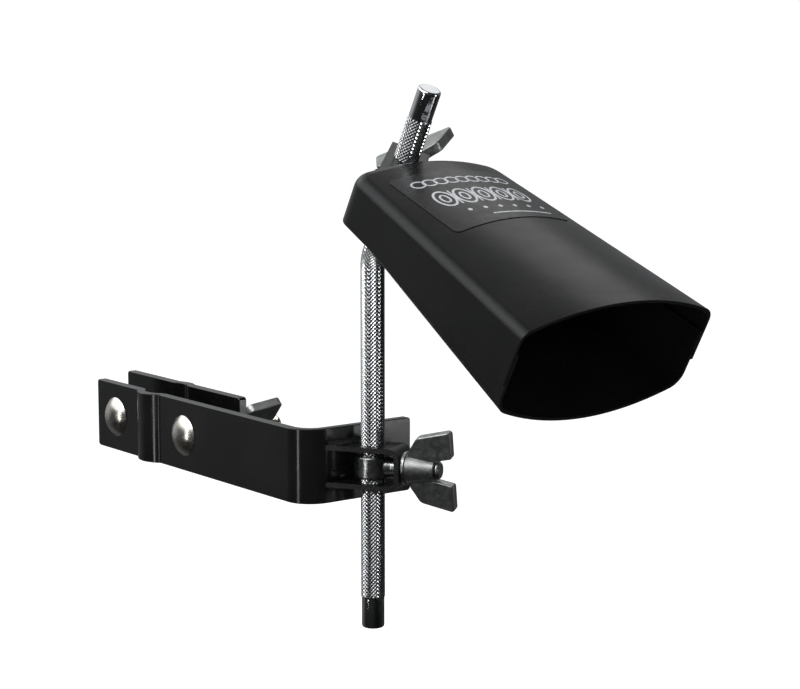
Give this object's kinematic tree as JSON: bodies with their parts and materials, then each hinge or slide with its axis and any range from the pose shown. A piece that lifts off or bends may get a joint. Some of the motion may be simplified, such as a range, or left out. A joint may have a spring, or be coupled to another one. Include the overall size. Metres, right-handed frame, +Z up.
{
  "type": "mounted cowbell",
  "caption": "Wide-mouth two-shell cowbell on a bent knurled rod, clamped by eye bolts to a strap arm that grips a drum stand tube.",
  "frame": {"origin": "on the stand tube's axis, at the middle of the length that both clamp halves grip", "axes": "+Z up along the stand tube, +X along the strap arm from the tube to the rod, +Y towards the clamp's nuts"},
  "size_m": [0.331, 0.0981, 0.2275],
  "materials": {
    "bell_paint": "black semi-gloss",
    "strap_paint": "black gloss",
    "sticker": "printed vinyl",
    "chrome_rod": "diamond knurl, polished ends",
    "zinc": "zinc plated, cast",
    "nickel": "nickel plated"
  },
  "bodies": {
    "arm": {"arm_strap": "strap_paint", "saddle_bracket": "strap_paint", "saddle_weld_upper": "strap_paint", "saddle_weld_lower": "strap_paint", "clamp_bolt_left": "nickel", "clamp_bolt_right": "nickel", "rod_eye_bolt": "zinc"},
    "jaw": {"rear_jaw": "strap_paint", "clamp_washer_left": "zinc", "clamp_washer_right": "zinc", "clamp_lock_washer": "zinc"},
    "clamp_wing": {"clamp_wing_nut": "zinc"},
    "clamp_lock": {"clamp_lock_nut": "zinc"},
    "rod_washer_carrier": {"rod_washer": "zinc"},
    "rod_wing": {"rod_wing_nut": "zinc"},
    "rod": {"knurled_rod": "chrome_rod"},
    "bell": {"bell_upper_shell": "bell_paint", "bell_lower_shell": "bell_paint", "bell_label": "sticker", "bell_bracket": "strap_paint", "bell_weld_upper": "strap_paint", "bell_weld_lower": "strap_paint", "bell_eye_bolt": "zinc"},
    "bell_washer_carrier": {"bell_washer": "zinc"},
    "bell_wing": {"bell_wing_nut": "zinc"}
  },
  "joints": [
    {"name": "jaw_slide", "type": "slide", "parent": "arm", "child": "jaw", "axis": [0, 1, 0], "range_m": [0, 0.00564]},
    {"name": "clamp_wing_turn", "type": "hinge", "parent": "jaw", "child": "clamp_wing", "pos_m": [0.03, 0.0156, -0.001], "axis": [0, 1, 0], "range_deg": [0, 1441]},
    {"name": "clamp_lock_turn", "type": "hinge", "parent": "jaw", "child": "clamp_lock", "pos_m": [-0.03, 0.0136, -0.001], "axis": [0, 1, 0], "range_deg": [0, 1441]},
    {"name": "rod_washer_slide", "type": "slide", "parent": "arm", "child": "rod_washer_carrier", "axis": [0.8434, 0.5373, 0], "range_m": [0, 0.00282]},
    {"name": "rod_wing_turn", "type": "hinge", "parent": "rod_washer_carrier", "child": "rod_wing", "pos_m": [0.14853, 0.02639, -0.001], "axis": [0.8434, 0.5373, 0], "range_deg": [0, 721]},
    {"name": "rod_height", "type": "slide", "parent": "arm", "child": "rod", "axis": [0, 0, 1], "range_m": [-0.045, 0.045]},
    {"name": "bell_swivel", "type": "hinge", "parent": "rod", "child": "bell", "pos_m": [0.15276, 0.01865, 0.11987], "axis": [0.4598, 0.0197, 0.8878], "range_deg": [-110, 110]},
    {"name": "bell_washer_slide", "type": "slide", "parent": "bell", "child": "bell_washer_carrier", "axis": [-0.6308, 0.711, 0.3109], "range_m": [0, 0.00282]},
    {"name": "bell_wing_turn", "type": "hinge", "parent": "bell_washer_carrier", "child": "bell_wing", "pos_m": [0.1428, 0.02988, 0.12479], "axis": [-0.6308, 0.711, 0.3109], "range_deg": [0, 721]}
  ],
  "couplings": [
    {"joint": "clamp_wing_turn", "follows": "jaw_slide", "rad_per_m": 4453},
    {"joint": "clamp_lock_turn", "follows": "jaw_slide", "rad_per_m": 4453},
    {"joint": "rod_wing_turn", "follows": "rod_washer_slide", "rad_per_m": 4453},
    {"joint": "bell_wing_turn", "follows": "bell_washer_slide", "rad_per_m": 4453}
  ]
}
